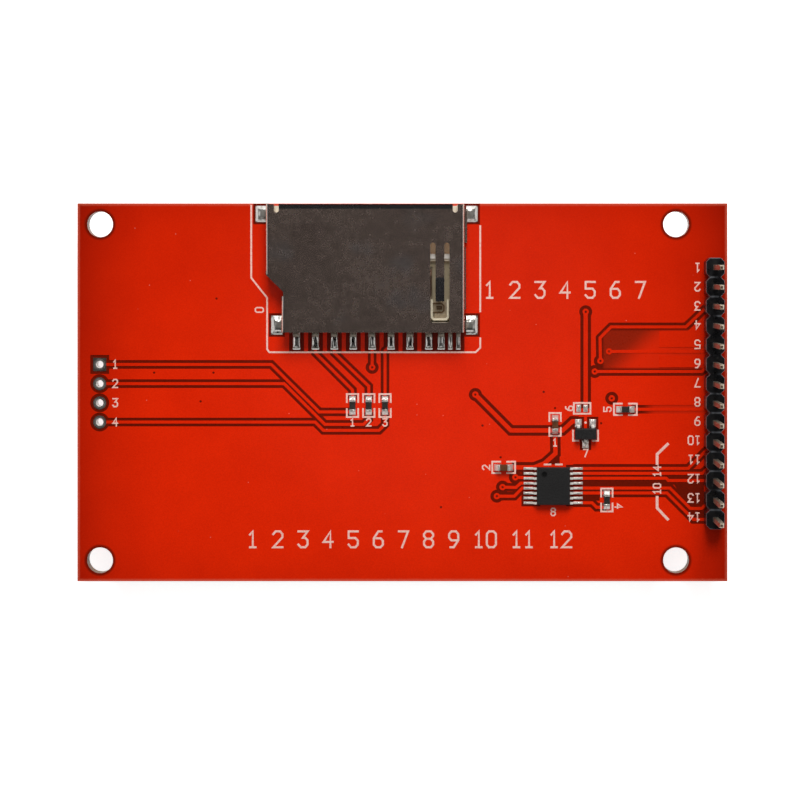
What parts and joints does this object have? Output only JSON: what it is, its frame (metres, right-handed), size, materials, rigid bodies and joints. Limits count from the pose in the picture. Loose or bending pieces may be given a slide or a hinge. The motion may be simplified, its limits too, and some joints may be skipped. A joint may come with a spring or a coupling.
{
  "type": "tft display module",
  "caption": "Small colour display on a red circuit board, with a full-size memory-card socket, a touch controller and a row of header pins on the component side.",
  "frame": {"origin": "middle of the footprint, on the front face of the touch film, so the module lies on its display with the component side up", "axes": "+X along the board towards the pin header, +Y towards the mouth of the card socket, +Z out of the component side"},
  "size_m": [0.086, 0.05, 0.0145],
  "materials": {
    "board_core": "glass-fibre board, dark red, fine weave",
    "red_mask": "glossy red solder mask over copper",
    "tinned_land": "tinned copper",
    "print_ink": "thin white ink on red",
    "socket_steel": "dull tinned steel sheet",
    "socket_nylon": "cream moulded nylon",
    "contact_metal": "sprung contact strip",
    "solder": "bright solder",
    "header_plastic": "black moulded plastic",
    "pin_tin": "tinned brass pin with cut end",
    "package_black": "black moulding compound",
    "lead_tin": "tinned lead",
    "resistor_body": "dark glaze with tinned ends",
    "capacitor_body": "brown ceramic with tinned ends",
    "touch_film": "glossy film over a dark display",
    "display_glass": "thin display glass",
    "dark_foam": "thin black foam",
    "polariser": "polarising film",
    "light_film": "clear and white optical sheet",
    "frame_white": "white moulded plastic",
    "driver_silicon": "bare silicon chip",
    "led_white": "white LED package",
    "flex_amber": "amber flexible circuit",
    "foam_tape": "white foam tape"
  },
  "bodies": {
    "root": {"board": "board_core", "top_layer": "red_mask", "pads": "tinned_land", "silk_print": "print_ink", "socket_shell": "socket_steel", "socket_base": "socket_nylon", "socket_contacts": "contact_metal", "socket_switches": "contact_metal", "socket_solder": "solder", "header_housing": "header_plastic", "header_pins": "pin_tin", "header_solder": "solder", "controller_body": "package_black", "controller_leads": "lead_tin", "regulator_body": "package_black", "regulator_leads": "lead_tin", "resistor_1": "resistor_body", "resistor_2": "resistor_body", "resistor_3": "resistor_body", "resistor_4": "resistor_body", "resistor_5": "resistor_body", "capacitor_1": "capacitor_body", "capacitor_2": "capacitor_body", "chip_solder": "solder", "jumper_solder": "solder", "touch_film": "touch_film", "touch_spacer": "dark_foam", "touch_glass": "display_glass", "panel_gasket": "dark_foam", "front_polariser": "polariser", "filter_glass": "display_glass", "array_glass": "display_glass", "driver_chip": "driver_silicon", "rear_polariser": "polariser", "prism_film": "light_film", "diffuser_film": "light_film", "light_guide": "light_film", "reflector": "light_film", "backlight_leds": "led_white", "led_strip": "flex_amber", "backlight_frame": "frame_white", "display_flex": "flex_amber", "touch_flex": "flex_amber", "flex_solder": "solder", "mounting_tape": "foam_tape"}
  },
  "joints": []
}
